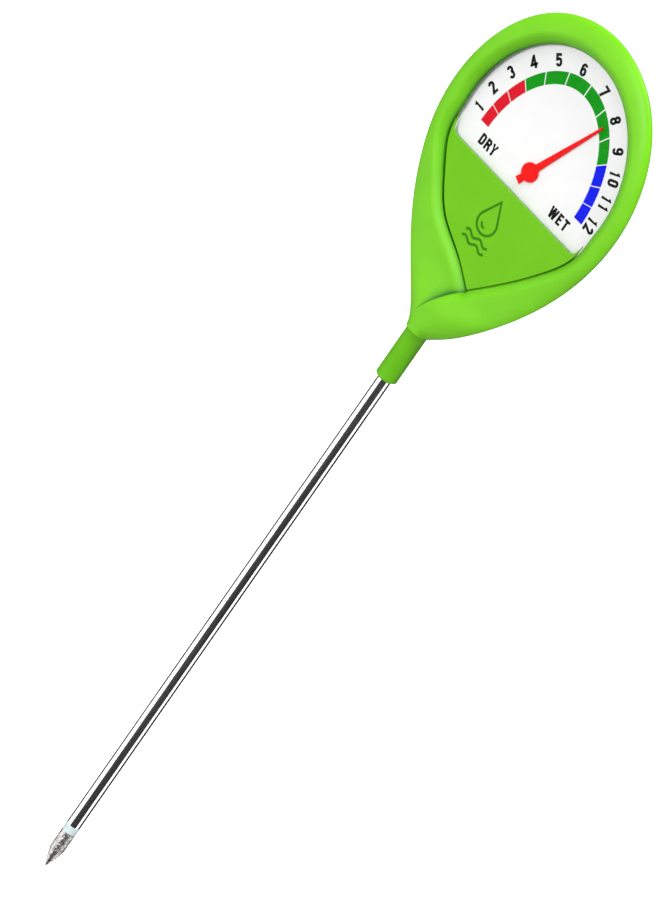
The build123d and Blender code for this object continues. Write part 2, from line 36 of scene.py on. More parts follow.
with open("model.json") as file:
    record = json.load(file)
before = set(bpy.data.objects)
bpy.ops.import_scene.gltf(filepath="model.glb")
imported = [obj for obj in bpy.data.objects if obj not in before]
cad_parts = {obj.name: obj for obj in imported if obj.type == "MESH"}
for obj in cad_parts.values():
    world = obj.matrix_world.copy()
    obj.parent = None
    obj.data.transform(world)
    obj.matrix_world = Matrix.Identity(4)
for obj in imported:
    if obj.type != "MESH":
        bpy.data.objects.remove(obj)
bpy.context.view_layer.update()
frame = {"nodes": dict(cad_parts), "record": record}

MM = 0.001
staff_low, staff_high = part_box("pivot_staff")
HUB_Z = (staff_low.z + staff_high.z) / 2 / MM
CARD_HEIGHT = -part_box("dial_card")[0].y / MM
PANEL_HEIGHT = -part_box("face_panel")[0].y / MM
LENS_HEIGHT = -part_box("window_lens")[0].y / MM
FLOOR_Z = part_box("tip_electrode")[0].z
POINTER_Y = (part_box("pointer")[0].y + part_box("pointer")[1].y) / 2

# ---- Camera
AZIMUTH, ELEVATION, ROLL = (math.radians(a) for a in (28.9, 22.2, 34.9))
LENS_MM, SENSOR_MM = 1200.0, 36.0
CLIP_END = 60  # metres, well beyond the hub's distance
VIEW_HEIGHT = 0.2357  # metres from the frame's lower edge to its upper edge, at the hub's distance
CENTRE_RIGHT, CENTRE_UP = -0.0523, -0.0727  # the frame's centre from the hub, in metres


def make_camera():
    """A long lens at the viewing angle, aimed below and left of the hub."""
    back = Vector((
        math.sin(AZIMUTH) * math.cos(ELEVATION),
        -math.cos(AZIMUTH) * math.cos(ELEVATION),
        math.sin(ELEVATION),
    ))
    level = Vector((math.cos(AZIMUTH), math.sin(AZIMUTH), 0))
    upright = back.cross(level)
    right = level * math.cos(ROLL) + upright * math.sin(ROLL)
    up = upright * math.cos(ROLL) - level * math.sin(ROLL)
    data = bpy.data.cameras.new("camera")
    data.lens, data.sensor_width, data.clip_end = LENS_MM, SENSOR_MM, CLIP_END
    aim = Vector((0, POINTER_Y, HUB_Z * MM)) + right * CENTRE_RIGHT + up * CENTRE_UP
    camera = bpy.data.objects.new("camera", data)
    turn = Matrix((right, up, back)).transposed().to_4x4()
    eye = aim + back * VIEW_HEIGHT * LENS_MM / SENSOR_MM
    camera.matrix_world = Matrix.Translation(eye) @ turn
    bpy.context.scene.collection.objects.link(camera)
    bpy.context.scene.camera = camera


# ---- Light and floor
WORLD_STRENGTH = 0.5
LIGHT_SIZE = 0.6
HEAD = (0, 0, 0.07)
FLOOR_REACH = 12.0
CARD_REACH = 1.2
CARD_LIFT = 0.0004
CARD_STEPS = 24
CARD_SECTORS = {"card_front": (-12, 88), "card_side": (122, 185), "card_back": (232, 286)}


def area_light(name, where, power):
    """A soft square light that shines towards the head."""
    data = bpy.data.lights.new(name, "AREA")
    data.shape, data.size, data.energy = "SQUARE", LIGHT_SIZE, power
    light = bpy.data.objects.new(name, data)
    light.location = where
    light.rotation_euler = (Vector(where) - Vector(HEAD)).to_track_quat("Z", "Y").to_euler()
    bpy.context.scene.collection.objects.link(light)


def make_light():
    """Pale surroundings, a faint light above, one in front, and the strongest above to the right."""
    world = bpy.data.worlds.new("studio")
    world.use_nodes = True
    world.node_tree.nodes["Background"].inputs["Color"].default_value = (1, 1, 1, 1)
    world.node_tree.nodes["Background"].inputs["Strength"].default_value = WORLD_STRENGTH
    bpy.context.scene.world = world
    area_light("key", (0.0, -1.2, 2.2), 7)
    area_light("front", (-0.1, -2.3, 0.5), 28)
    area_light("glint", (0.6, -0.3, 2.4), 54)
    bpy.context.scene.view_settings.view_transform = "Standard"


def build(name, vertices, faces, material):
    """A mesh object from points in metres."""
    mesh = bpy.data.meshes.new(name)
    mesh.from_pydata([tuple(p) for p in vertices], [], faces)
    mesh.validate()
    made = bpy.data.objects.new(name, mesh)
    mesh.materials.append(material)
    bpy.context.scene.collection.objects.link(made)
    return made


def make_floor(material):
    """A wide pale floor that the tip stands on."""
    signs = [(-1, -1), (1, -1), (1, 1), (-1, 1)]
    corners = [(x * FLOOR_REACH, y * FLOOR_REACH, FLOOR_Z) for x, y in signs]
    floor = build("floor", corners, [(0, 1, 2, 3)], material)
    floor.visible_diffuse = False


def make_cards(material):
    """Dark floor sectors that only reflections see. They put the bands on the polished tube."""
    top = FLOOR_Z + CARD_LIFT
    for name, (start, end) in CARD_SECTORS.items():
        angles = np.radians(np.linspace(start, end, CARD_STEPS + 1))
        rim = [(CARD_REACH * math.sin(a), -CARD_REACH * math.cos(a), top) for a in angles]
        faces = [(0, i, i + 1) for i in range(1, CARD_STEPS + 1)]
        card = build(name, [(0, 0, top), *rim], faces, material)
        card.visible_camera = card.visible_diffuse = card.visible_shadow = False


# ---- Materials
NOISE_RANGE = (0.3, 0.7)
PAINTED_SHADE_RANGE = (0.8, 0.99)  # share of open sky at which the painted shade is full, and at which it is gone
# The darkest tint of the painted shade, multiplied into the colour where little open sky is seen
PAINTED_SHADE_TINT = (0.12, 0.3, 0.0, 1)
PAINTED_SHADE_RAYS = 8


def deepen(nodes, links, colour, hollow):
    """The colour with painted shade: darker in hollows up to the given width in mm, by an occlusion node.
    """
    open_sky = nodes.new("ShaderNodeAmbientOcclusion")
    open_sky.samples = PAINTED_SHADE_RAYS
    open_sky.inputs["Distance"].default_value = hollow * MM
    # Painted shade: the share of open sky picks a tint between the shade tint and white
    depth = nodes.new("ShaderNodeValToRGB")
    for stop, position in zip(depth.color_ramp.elements, PAINTED_SHADE_RANGE):
        stop.position = position
    depth.color_ramp.elements[0].color = PAINTED_SHADE_TINT
    links.new(open_sky.outputs["AO"], depth.inputs["Fac"])
    blend = nodes.new("ShaderNodeMixRGB")
    blend.blend_type = "MULTIPLY"
    blend.inputs["Fac"].default_value = 1
    links.new(colour, blend.inputs["Color1"])
    links.new(depth.outputs["Color"], blend.inputs["Color2"])
    return blend.outputs["Color"]


def surface(
    name, dark, light, grain, rough, bump=0.0, stretch=(1, 1, 1), fine=0.25, hollow=0.0, **sockets
):
    """A procedural finish: two close colours mixed by noise of one grain size in mm, roughness that
    follows the same noise, and a finer bump of the given depth in mm. Hollows up to the given width
    in mm get painted shade, a darker colour from an occlusion node. Sockets are set directly."""
    made = bpy.data.materials.new(f"{name}_finish")
    made.use_nodes = True
    nodes, links = made.node_tree.nodes, made.node_tree.links
    shader = nodes["Principled BSDF"]
    coordinates = nodes.new("ShaderNodeTexCoord")
    mapping = nodes.new("ShaderNodeMapping")
    mapping.inputs["Scale"].default_value = stretch
    links.new(coordinates.outputs["Object"], mapping.inputs["Vector"])
    noise = nodes.new("ShaderNodeTexNoise")
    noise.inputs["Scale"].default_value = 1 / (grain * MM)
    noise.inputs["Detail"].default_value = 3
    links.new(mapping.outputs["Vector"], noise.inputs["Vector"])
    ramp = nodes.new("ShaderNodeValToRGB")
    for stop, position, colour in zip(ramp.color_ramp.elements, NOISE_RANGE, (dark, light)):
        stop.position, stop.color = position, (*colour, 1)
    links.new(noise.outputs["Fac"], ramp.inputs["Fac"])
    colour = ramp.outputs["Color"]
    # Painted shade: the colour is darkened in hollows
    if hollow:
        colour = deepen(nodes, links, colour, hollow)
    links.new(colour, shader.inputs["Base Color"])
    spread = nodes.new("ShaderNodeMapRange")
    spread.inputs["From Min"].default_value, spread.inputs["From Max"].default_value = NOISE_RANGE
    spread.inputs["To Min"].default_value, spread.inputs["To Max"].default_value = rough
    links.new(noise.outputs["Fac"], spread.inputs["Value"])
    links.new(spread.outputs["Result"], shader.inputs["Roughness"])
    if bump:
        texture = nodes.new("ShaderNodeTexNoise")
        texture.inputs["Scale"].default_value = 1 / (fine * MM)
        texture.inputs["Detail"].default_value = 2
        links.new(mapping.outputs["Vector"], texture.inputs["Vector"])
        relief = nodes.new("ShaderNodeBump")
        relief.inputs["Distance"].default_value = bump * MM
        links.new(texture.outputs["Fac"], relief.inputs["Height"])
        links.new(relief.outputs["Normal"], shader.inputs["Normal"])
    for socket, value in sockets.items():
        shader.inputs[socket.replace("_", " ")].default_value = value
    return made


def ink(name, dark, light):
    """A matte printing ink."""
    return surface(f"ink_{name}", dark, light, 2, (0.5, 0.6), Specular_IOR_Level=0.08)


def metal(name, dark, light, grain, rough, bump=0.0, **options):
    """A bare metal finish."""
    return surface(name, dark, light, grain, rough, bump, Metallic=1, **options)


def grey(value):
    """A colour with no hue."""
    return (value, value, value)


def plastic_finishes():
    """The head's plastics and the clear window."""
    return {
        # The shell's green carries painted shade, darker in hollows up to 9 mm wide
        "green_shell": surface(
            "green_shell", (0.15, 0.54, 0.003), (0.168, 0.58, 0.005), 9, (0.4, 0.48), 0.008,
            hollow=9, Specular_IOR_Level=0.25,
        ),
        "green_panel": surface(
            "green_panel", (0.136, 0.475, 0.002), (0.15, 0.51, 0.004), 11, (0.42, 0.5), 0.008,
            Specular_IOR_Level=0.15,
        ),
        "green_sleeve": surface(
            "green_sleeve", (0.115, 0.44, 0.002), (0.128, 0.48, 0.003), 6, (0.42, 0.5), 0.01,
            Specular_IOR_Level=0.15,
        ),
        "clear_lens": surface(
            "clear_lens", (0.02, 0.03, 0.03), (0.03, 0.04, 0.04), 8, (0.02, 0.04),
            Alpha=0.03, Specular_IOR_Level=0.4,
        ),
        "dial_white": surface("dial_white", grey(0.92), grey(0.96), 5, (0.5, 0.6), 0.004),
        "pointer_red": surface(
            "pointer_red", (0.9, 0.0005, 0.0005), (0.96, 0.001, 0.001), 3, (0.4, 0.5), 0.004,
            Specular_IOR_Level=0.1,
        ),
        "insulator_aqua": surface(
            "insulator_aqua", (0.6, 0.76, 0.77), (0.7, 0.84, 0.85), 2, (0.35, 0.45), 0.008,
            Specular_IOR_Level=0.3,
        ),
    }


def probe_finishes():
    """The polished tube and the rough cast tip."""
    return {
        "stainless_tube": metal(
            "stainless_tube", (0.72, 0.72, 0.73), (0.86, 0.86, 0.87), 0.6, (0.1, 0.17), 0.004,
            stretch=(1, 1, 0.02), fine=0.3,
        ),
        "tip_zinc": metal(
            "tip_zinc", (0.3, 0.29, 0.28), (0.72, 0.71, 0.7), 0.9, (0.25, 0.45), 0.25, fine=0.5
        ),
    }


def inside_finishes():
    """What the movement and its leads are made of."""
    return {
        "frame_black": surface(
            "frame_black", (0.015, 0.015, 0.016), (0.03, 0.03, 0.032), 4, (0.45, 0.6), 0.02
        ),
        "screw_steel": metal("screw_steel", grey(0.5), (0.62, 0.62, 0.61), 0.6, (0.2, 0.35), 0.01),
        "staff_steel": metal("staff_steel", (0.5, 0.51, 0.53), (0.62, 0.63, 0.65), 0.5, (0.12, 0.2)),
        "brass": metal("brass", (0.62, 0.38, 0.12), (0.75, 0.5, 0.18), 0.8, (0.2, 0.35), 0.005),
        "spring_bronze": metal(
            "spring_bronze", (0.6, 0.33, 0.16), (0.7, 0.42, 0.22), 0.4, (0.2, 0.3)
        ),
        "magnet_grey": surface(
            "magnet_grey", (0.05, 0.05, 0.055), (0.09, 0.09, 0.095), 0.5, (0.45, 0.6), 0.02
        ),
        "bobbin_nylon": surface(
            "bobbin_nylon", (0.72, 0.7, 0.62), (0.8, 0.78, 0.7), 2, (0.45, 0.55), 0.01
        ),
        "enamelled_copper": surface(
            "enamelled_copper", (0.45, 0.13, 0.04), (0.62, 0.22, 0.08), 0.3, (0.25, 0.4), 0.03,
            stretch=(1, 1, 8), fine=0.3, Metallic=0.9,
        ),
        "can_steel": metal(
            "can_steel", (0.42, 0.42, 0.41), (0.55, 0.55, 0.53), 1.5, (0.3, 0.45), 0.01
        ),
        "tinned_contact": metal(
            "tinned_contact", grey(0.6), (0.72, 0.72, 0.7), 0.7, (0.25, 0.4)
        ),
        "lead_red": surface("lead_red", (0.5, 0.01, 0.01), (0.6, 0.015, 0.012), 2, (0.4, 0.5), 0.01),
        "lead_black": surface("lead_black", grey(0.012), grey(0.025), 2, (0.4, 0.5), 0.01),
    }


def print_finishes():
    """The printing inks."""
    return {
        "ink_black": ink("black", grey(0.004), grey(0.01)),
        "ink_red": ink("red", (0.72, 0.001, 0.014), (0.78, 0.002, 0.02)),
        "ink_green": ink("green", (0.0, 0.3, 0.001), (0.0, 0.34, 0.003)),
        "ink_blue": ink("blue", (0.0, 0.005, 0.84), (0.0, 0.008, 0.9)),
        "emblem_green": ink("emblem", (0.028, 0.19, 0.001), (0.035, 0.22, 0.002)),
    }


def stage_finishes():
    """The glowing floor and the dark cards on it."""
    return {
        "floor": surface(
            "floor", grey(0.9), grey(0.93), 60, (0.7, 0.8),
            Emission_Color=(1, 1, 1, 1), Emission_Strength=0.7,
        ),
        "card": surface("card", grey(0.012), grey(0.018), 60, (0.8, 0.9), Specular_IOR_Level=0.1),
    }


# ---- Curves in the front view
# Half of the head's top, then each arm down to the neck's end
HEAD_TOP = [(0, 45.4), (15.4, 41.2), (24.9, 32.8), (32.1, 18.0), (33.8, 2.1)]
RIGHT_ARM = [(29.6, -17.7), (18.4, -38.5), (8.5, -50.4), (4.0, -54.4)]
LEFT_ARM = [(-29.1, -17.7), (-16.1, -38.5), (-5.9, -50.4), (-3.7, -54.4)]
NECK_END = LEFT_ARM[-1][1]
NECK_STEPS = 40
PARTING_SHARE = 0.975
PANEL_RIGHT = [(5.6, -36.2), (15.0, -25.5), (22.5, -15.2), (26.5, -7.0), (27.05, 0.5)]
PANEL_LEFT = [
    (-27.05, 0.5), (-26.5, -7.0), (-21.9, -15.2), (-12.9, -25.6), (-3.1, -30.8), (5.6, -36.2),
]
WINDOW_HALF_W, WINDOW_HALF_H, WINDOW_MID = 27.3, 31.8, 4.7
WINDOW_STEPS = 500
CREASE = [(5.6, -36.2), (2.5, -40.1), (0.4, -43.2), (-1.7, -47.3), (-2.9, -50.6), (-3.7, -54.4)]
CREASE_BEND = (-3.1, 0.75)
# The neck's round bell: heights above the row's origin and its radius there
BELL_Z, BELL_R = [16.3, 20.0, 26.0], [3.9, 4.0, 3.7]
BELL_ROUND = 0.4
BELL_OUTER_SLOPE = 3
BELL_NARROWS_Z, BELL_SINKS_Z, BELL_FADE_RUN = 20, 22, 14
BELL_SINK = 8
BELL_BLEND_MIN, BELL_BLEND_MAX, BELL_BLEND_RISE = 0.1, 4.0, 0.5
LEAST_BELL_R = 0.1
BORE_R, CONTACT_BORE_R = 3.25, 2.5
SLEEVE_TOP_Z, BORE_TOP_Z = 25.0, 30.6


def spline(points, first, last, step=0.25):
    """A clamped cubic spline through the points, sampled about every step."""
    p = np.array(points, float)
    span = np.linalg.norm(np.diff(p, axis=0), axis=1)
    knots = np.concatenate([[0], np.cumsum(span)])
    count = len(p)
    left, right = np.eye(count), np.zeros((count, 2))
    right[0], right[-1] = np.array(first) / np.hypot(*first), np.array(last) / np.hypot(*last)
    for i in range(1, count - 1):
        before, after = span[i - 1], span[i]
        left[i, i - 1:i + 2] = after, 2 * (before + after), before
        right[i] = 3 * (after * (p[i] - p[i - 1]) / before + before * (p[i + 1] - p[i]) / after)
    slope = np.linalg.solve(left, right)
    at = np.linspace(0, knots[-1], int(knots[-1] / step) + 1)
    i = np.clip(np.searchsorted(knots, at, side="right") - 1, 0, count - 2)
    t, h = ((at - knots[i]) / span[i])[:, None], span[i][:, None]
    return (
        p[i] * (2 * t**3 - 3 * t**2 + 1) + p[i + 1] * (3 * t**2 - 2 * t**3)
        + h * slope[i] * (t**3 - 2 * t**2 + t) + h * slope[i + 1] * (t**3 - t**2)
    )


def lengths(curve):
    """Length along a sampled curve at each of its points."""
    return np.concatenate([[0], np.cumsum(np.linalg.norm(np.diff(curve, axis=0), axis=1))])


def at_length(curve, where):
    """Points of a sampled curve at the given lengths."""
    run = lengths(curve)
    return np.stack([np.interp(where, run, curve[:, k]) for k in (0, 1)], axis=1)


def distance(points, curve):
    """Distance from each point to a sampled curve."""
    best = np.full(len(points), 1e9)
    start, along = curve[:-1], np.diff(curve, axis=0)
    size = (along**2).sum(1) + 1e-12
    batch = 500
    for k in range(0, len(points), batch):
        part = points[k:k + batch, None] - start[None]
        t = np.clip((part * along).sum(2) / size, 0, 1)
        gap = part - t[..., None] * along
        best[k:k + batch] = np.sqrt((gap**2).sum(2)).min(1)
    return best


def head_curves():
    """The head's widest outline and the bezel's opening, both from the crease anticlockwise, then
    the outline's right and left sides."""
    right_side = spline(HEAD_TOP + RIGHT_ARM, (1, 0), (-0.75, -0.65))
    left_side = spline([(-x, v) for x, v in HEAD_TOP] + LEFT_ARM, (-1, 0), (0.2, -1))
    edge = np.concatenate([right_side[::-1], left_side[1:]])
    neck = np.linspace(edge[-1], edge[0], NECK_STEPS)
    outline = np.concatenate([neck[:-1], edge])
    arc_start = math.asin((PANEL_RIGHT[-1][1] - WINDOW_MID) / WINDOW_HALF_H)
    angle = np.linspace(arc_start, math.pi - arc_start, WINDOW_STEPS)
    across, up = WINDOW_HALF_W * np.cos(angle), WINDOW_MID + WINDOW_HALF_H * np.sin(angle)
    window = np.stack([across, up], axis=1)
    right = spline(PANEL_RIGHT, (0.66, 0.75), (0, 1))
    left = spline(PANEL_LEFT, (0, -1), (0.85, -0.52))
    opening = np.concatenate([right[:-1], window, left[1:]])
    return outline, opening, right_side, left_side


def smoothstep(x):
    """0 below 0 and 1 above 1, with a smooth rise between."""
    x = np.clip(x, 0, 1)
    return x * x * (3 - 2 * x)


def smooth_max(a, b, blend):
    """The higher of two heights, with their meeting rounded over about blend."""
    near = np.maximum(blend - np.abs(a - b), 0) / blend
    return np.maximum(a, b) + near**2 * blend / 4


def smooth_min(a, b, blend):
    """The lower of two heights, with their meeting rounded over about blend."""
    return -smooth_max(-a, -b, blend)


FINE_STEP, NECK_STEP, COARSE_STEP = 0.1, 0.3, 1.1
FINE_GROWTH, COARSE_GROWTH = 0.08, 0.05
NECK_REACH = 14


def column_step(gap):
    """Width of a mesh column at a length from the crease: fine by the neck, coarser round the rim."""
    if gap < NECK_REACH:
        return min(FINE_STEP + FINE_GROWTH * gap, NECK_STEP)
    return min(NECK_STEP + COARSE_GROWTH * (gap - NECK_REACH), COARSE_STEP)


def column_places(total):
    """Lengths along the outline for the mesh's columns."""
    places = [0.0]
    while places[-1] < total:
        places.append(places[-1] + column_step(min(places[-1], total - places[-1])))
    return np.array(places[:-1])


def neck_height(x, v, dome):
    """The dome's heights, with the neck's round bell blended in. The bell sinks away upwards."""
    z = v + HUB_Z
    low = BELL_Z[0]
    edge = np.clip((z - low) / BELL_ROUND, 0, 1)
    radius = np.interp(z, BELL_Z, BELL_R) - BELL_ROUND * (1 - np.sqrt(1 - (1 - edge) ** 2))
    radius = radius - BELL_R[1] * smoothstep((z - BELL_NARROWS_Z) / BELL_FADE_RUN)
    radius = np.maximum(radius, LEAST_BELL_R)
    inside = radius**2 - x**2
    outside = -BELL_OUTER_SLOPE * (np.abs(x) - radius)
    bell = np.where(inside > 0, np.sqrt(np.maximum(inside, 0)), outside)
    bell = bell - BELL_SINK * smoothstep((z - BELL_SINKS_Z) / BELL_FADE_RUN)
    blend = BELL_BLEND_MIN + BELL_BLEND_RISE * (z - low)
    return smooth_max(dome, bell, np.clip(blend, BELL_BLEND_MIN, BELL_BLEND_MAX))


def bore_height(x, v):
    """The half-round bore that the sleeve, the tube's end and its contact sit in."""
    radius = np.where(v + HUB_Z < SLEEVE_TOP_Z, BORE_R, CONTACT_BORE_R)
    return np.where(v + HUB_Z < BORE_TOP_Z, np.sqrt(np.maximum(radius**2 - x**2, 0)), 0)


# Heights are above the parting plane, and every size is in mm
RIM_HEIGHT = 3.2
WIDEST_HEIGHT = 1.3
LIP_HEIGHT = 1.0
ARM_DROP, ARM_LIP_RISE = 0.75, 0.25
ARM_START, ARM_RUN = -2, 24  # where the rim starts to turn into the arms, and over what length
ARMS_MEET, MEETING_RUN, MEETING_BLEND = -34.0, 8, 5
NECK_RUN = 12.0
RIM_SLOPE, ARM_SLOPE = 2.9, 2.6  # widths of the slope down to the opening
SLOPE_RISE, SLOPE_REACH = 3, 4  # how steeply the slope runs on past the crest, and how far
SLOPE_OVERSHOOT = 0.1
CREST_BLEND, ROLL_BLEND = 0.4, 2
ROLL_MIN, ROLL_MAX = 2.5, 10.0
FAR = 99  # stands for no limit
LENS_SEAT = 1.25
GROOVE = 0.12
LEAST_WALL = 0.02
BORE_WALL = 0.05
# The left arm sinks towards the crease, less so by the opening. The right arm rises and rounds over.
CREASE_FADE_END, CREASE_FADE_RUN = -50.5, 9
SINK, SINK_REACH, SINK_BY_OPENING, SINK_GROWS_OVER = 1.25, 8, 0.55, 6
RISE, RISE_REACH = 0.3, 10
EDGE_ROUND, EDGE_REACH = 0.5, 0.7


def past_neck(points):
    """0 at the neck's end, where both halves are round, and 1 where the head's own section starts."""
    return smoothstep((points[:, 1] - NECK_END) / NECK_RUN)


def bezel_front(points, right_side, left_side, opening):
    """Height of the bezel's front: rolled outer edge, crest, inner slope, lapped arms and neck."""
    v = points[:, 1]
    to_right, to_left = distance(points, right_side), distance(points, left_side)
    meeting = smoothstep((ARMS_MEET - v) / MEETING_RUN)
    to_edge = smooth_min(to_right, to_left, 0.01 + MEETING_BLEND * meeting)
    to_opening = distance(points, opening)
    half_width = np.where(v < ARMS_MEET, (to_right + to_left) / 2, FAR)
    roll = np.clip(to_edge + to_opening - RIM_SLOPE, ROLL_MIN, ROLL_MAX)
    roll = smooth_min(roll, half_width, ROLL_BLEND)
    arm = smoothstep((ARM_START - v) / ARM_RUN)
    neck = smoothstep((ARMS_MEET - 1 - v) / NECK_RUN)
    crest = RIM_HEIGHT - ARM_DROP * arm * (1 - neck) + (BELL_R[0] - RIM_HEIGHT) * neck
    widest = WIDEST_HEIGHT * past_neck(points)
    rolled = widest + (crest - widest) * np.sqrt(1 - (1 - np.clip(to_edge / roll, 0, 1)) ** 2)
    lip = LIP_HEIGHT + ARM_LIP_RISE * arm
    run = RIM_SLOPE + (ARM_SLOPE - RIM_SLOPE) * arm
    climb = np.clip(to_opening / run, 0, 1)
    swell = 0.7 * climb + 0.3 * np.sqrt(1 - (1 - climb) ** 2)
    slope = lip + (crest + SLOPE_OVERSHOOT - lip) * swell
    slope = slope + SLOPE_RISE * np.clip(to_opening - run, 0, SLOPE_REACH)
    return crease(points, smooth_min(rolled, slope, CREST_BLEND), to_opening)


def crease(points, height, to_opening):
    """The heights with the left arm sunk and the right arm's edge raised where it laps over."""
    line = spline(CREASE, (-0.62, -0.78), (-0.1, -1))
    gap = distance(points, line)
    side = np.sign(points[:, 0] - np.interp(-points[:, 1], -line[:, 1], line[:, 0]))
    fade = smoothstep((points[:, 1] - CREASE_FADE_END) / CREASE_FADE_RUN)
    share = SINK_BY_OPENING + (1 - SINK_BY_OPENING) * smoothstep(to_opening / SINK_GROWS_OVER)
    left = -SINK * np.exp(-gap / SINK_REACH) * share
    right = RISE * np.exp(-gap / RISE_REACH) - EDGE_ROUND * np.exp(-gap / EDGE_REACH)
    return height + np.where(side < 0, left, right) * fade


def shell(name, front, back, centre, material):
    """A closed shell between two stacks of rings, in the row frame. The last rings meet at the outer
    edge. The first rings meet at the inner edge, or each closes on its own point of centre."""
    count = len(front[0])
    points = np.concatenate(front + back)
    faces = []

    def outside(k, j):
        return k * count + j % count

    def inside(k, j):
        return (len(front) + k) * count + j % count

    for j in range(count):
        for k in range(len(front) - 1):
            faces.append((outside(k, j), outside(k, j + 1), outside(k + 1, j + 1), outside(k + 1, j)))
        for k in range(len(back) - 1):
            faces.append((inside(k, j), inside(k + 1, j), inside(k + 1, j + 1), inside(k, j + 1)))
        k, m = len(front) - 1, len(back) - 1
        faces.append((outside(k, j), outside(k, j + 1), inside(m, j + 1), inside(m, j)))
        if centre is None:
            faces.append((outside(0, j + 1), outside(0, j), inside(0, j), inside(0, j + 1)))
    if centre is not None:
        points = np.concatenate([points, centre])
        for j in range(count):
            faces.append((len(points) - 2, outside(0, j + 1), outside(0, j)))
            faces.append((len(points) - 1, inside(0, j), inside(0, j + 1)))
    made = build(name, points, faces, material)
    clean(made)
    return made


def clean(piece, weld=0.000002, sharp=40):
    """Welds meeting points, drops faces with no area, turns normals out and smooths the shading."""
    work = bmesh.new()
    work.from_mesh(piece.data)
    bmesh.ops.remove_doubles(work, verts=work.verts, dist=weld)
    bmesh.ops.dissolve_degenerate(work, edges=work.edges, dist=weld / 2)
    bmesh.ops.recalc_face_normals(work, faces=work.faces)
    work.to_mesh(piece.data)
    work.free()
    piece.data.shade_smooth()
    piece.data.set_sharp_from_angle(angle=math.radians(sharp))


def place(points, height):
    """Front-view points with heights, in the row frame in metres."""
    return np.stack([points[:, 0], -height, points[:, 1] + HUB_Z], axis=1) * MM


# Matching points of the outline and the opening, where the mesh's columns run across the bezel
COLUMN_KEYS = [
    (LEFT_ARM[-1], PANEL_RIGHT[0]), (RIGHT_ARM[-1], (9.5, -31.9)), (RIGHT_ARM[1], (15.5, -24.8)),
    (RIGHT_ARM[0], PANEL_RIGHT[2]), ((33.5, -5.0), PANEL_RIGHT[3]), (HEAD_TOP[-1], PANEL_RIGHT[4]),
    (HEAD_TOP[0], (0, WINDOW_MID + WINDOW_HALF_H)), ((-33.8, 2.1), PANEL_LEFT[0]),
    ((-33.5, -5.0), PANEL_LEFT[1]), (LEFT_ARM[0], PANEL_LEFT[2]), (LEFT_ARM[1], (-11, -26.6)),
]
SEAT_STEPS = (0.3, 0.6, 0.9, LENS_SEAT)
SEAT_BOTTOM = -8.4
BEZEL_RINGS, BEZEL_CROWDING = 34, 1.6
BEND_RUN = 12
TUCK_TURNS = (22, 45, 67, 90)  # degrees round the outer edge, from the widest line to the parting


def nearest_length(curve, point):
    """Length along a sampled curve at its sample nearest to the point."""
    return lengths(curve)[np.argmin(np.hypot(*(curve - point).T))]


def bezel_columns(outline, opening, places):
    """A function from shares, 0 at the opening and 1 at the outline, to points on each column."""
    total = lengths(outline)[-1]
    outer = at_length(outline, places)
    marks_out = [nearest_length(outline, key) for key, _ in COLUMN_KEYS] + [total]
    marks_in = [nearest_length(opening, key) for _, key in COLUMN_KEYS] + [lengths(opening)[-1]]
    marks_out[0] = marks_in[0] = 0
    inner = at_length(opening, np.interp(places, marks_out, marks_in))
    from_crease = np.minimum(places, total - places)
    bend = np.exp(-((from_crease / BEND_RUN) ** 2))[:, None] * np.array(CREASE_BEND)
    middle = (inner + outer) / 2 + bend

    def along(share):
        t = share[:, None]
        return (1 - t) ** 2 * inner + 2 * t * (1 - t) * middle + t**2 * outer

    return along


def bezel_shares(reach):
    """Shares of the bezel's rings on columns of the given lengths: the lens seat, then the face."""
    shares = [np.zeros(len(reach))] + [np.clip(d / reach, 0, 0.5) for d in SEAT_STEPS]
    seat = shares[-1]
    for i in range(1, BEZEL_RINGS + 1):
        shares.append(seat + (1 - seat) * (1 - (1 - i / BEZEL_RINGS) ** BEZEL_CROWDING))
    return shares


def make_bezel(materials):
    """The front half of the head: a rim round the window that widens into two lapped arms."""
    outline, opening, right_side, left_side = head_curves()
    places = column_places(lengths(outline)[-1])
    along = bezel_columns(outline, opening, places)
    ones = np.ones(len(places))
    outer, inner = along(ones), along(0 * ones)
    front, back = [], []
    for k, share in enumerate(bezel_shares(np.linalg.norm(outer - inner, axis=1))):
        flat = along(share)
        height = bezel_front(flat, right_side, left_side, opening)
        height = np.maximum(height, LEAST_WALL)
        front.append(place(flat, height))
        bore = np.clip(bore_height(flat[:, 0], flat[:, 1]), 0, np.maximum(height - BORE_WALL, 0))
        on_seat = (k < len(SEAT_STEPS)) & (flat[:, 1] > SEAT_BOTTOM)
        drawn_in = 1 - (1 - PARTING_SHARE) * past_neck(flat) * share**2
        back.append(place(flat * drawn_in[:, None], np.where(on_seat, LENS_HEIGHT, bore)))
    tuck = past_neck(outer)
    for turn in np.radians(TUCK_TURNS):
        flat = outer * (1 - (1 - PARTING_SHARE) * tuck * (1 - math.cos(turn)))[:, None]
        height = np.maximum(WIDEST_HEIGHT * tuck * (1 - math.sin(turn)), GROOVE)
        front.append(place(flat, height))
    made = shell("front_bezel_skin", front, back, None, materials["green_shell"])
    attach(made, "housing")
    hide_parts("front_bezel")


REAR_DEPTH = 13.0
REAR_POWER = 4.6
INNER_SHARE, INNER_DEPTH = 0.95, 11.2
# Rings are even over the flatter middle, then closer and closer towards the edge
FLAT_FIRST, FLAT_LAST, FLAT_RINGS = 0.05, 0.7, 22
ROUND_WIDTH, ROUND_CROWDING, ROUND_RINGS = 0.28, 1.4, 34


